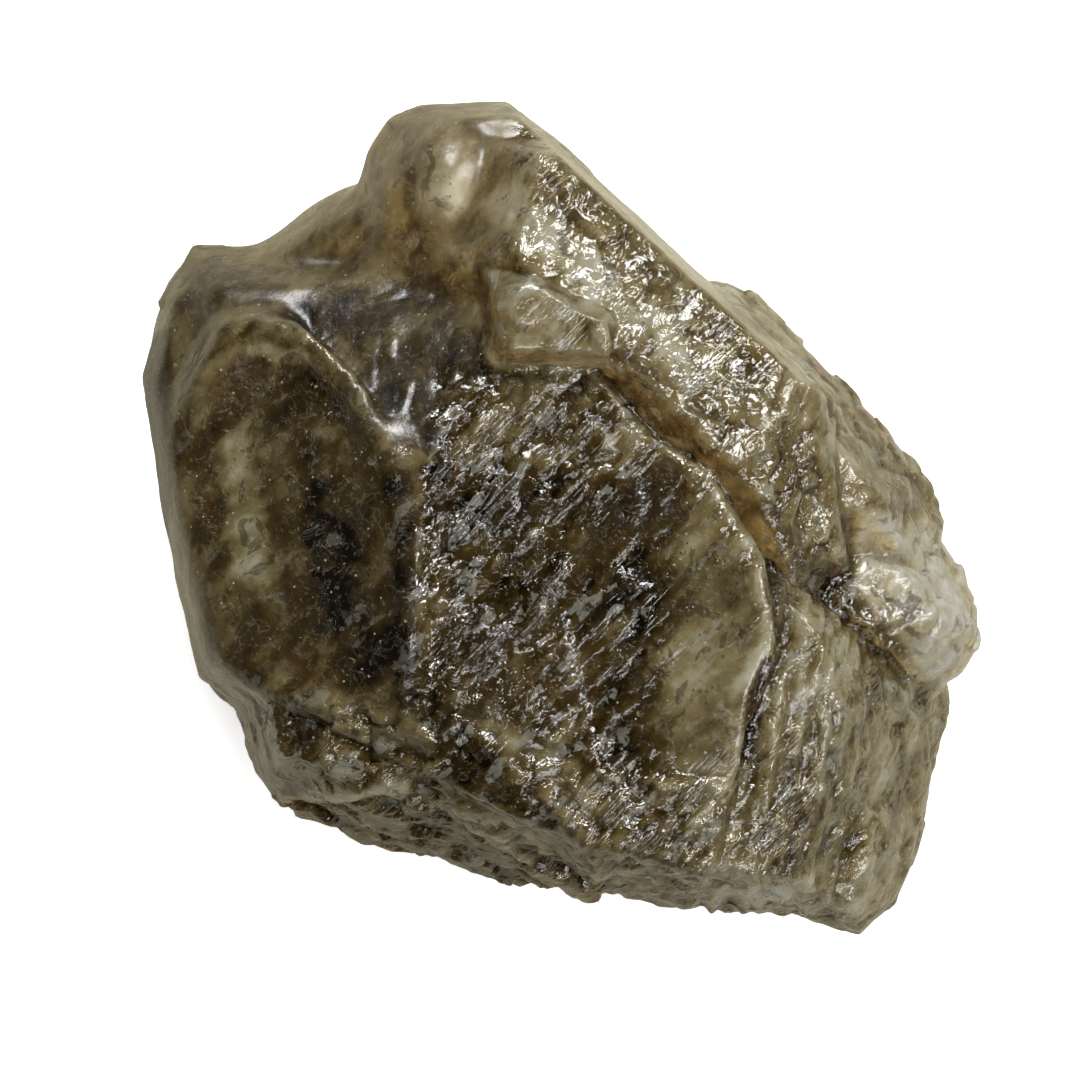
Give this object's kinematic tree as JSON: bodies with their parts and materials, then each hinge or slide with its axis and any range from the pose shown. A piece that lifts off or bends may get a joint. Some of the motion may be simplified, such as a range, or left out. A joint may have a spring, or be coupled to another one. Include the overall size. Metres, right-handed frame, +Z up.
{
  "type": "smoky quartz crystal",
  "caption": "Compact smoky quartz crystal with a broad prism face, a ridge crystal, side lobes and a flat underside to rest on.",
  "frame": {"origin": "middle of the bounding box's base, on the flat underside", "axes": "+Z up from the surface that the stone lies on, which is its shortest extent; the c-axis of the crystal lies level, at 44 degrees clockwise of +X seen from above"},
  "size_m": [0.062, 0.0616, 0.0379],
  "materials": {
    "smoky_quartz": "glassy brown-grey quartz, partly see-through, with natural growth lines"
  },
  "bodies": {
    "root": {"smoky_quartz_crystal": "smoky_quartz"}
  },
  "joints": []
}
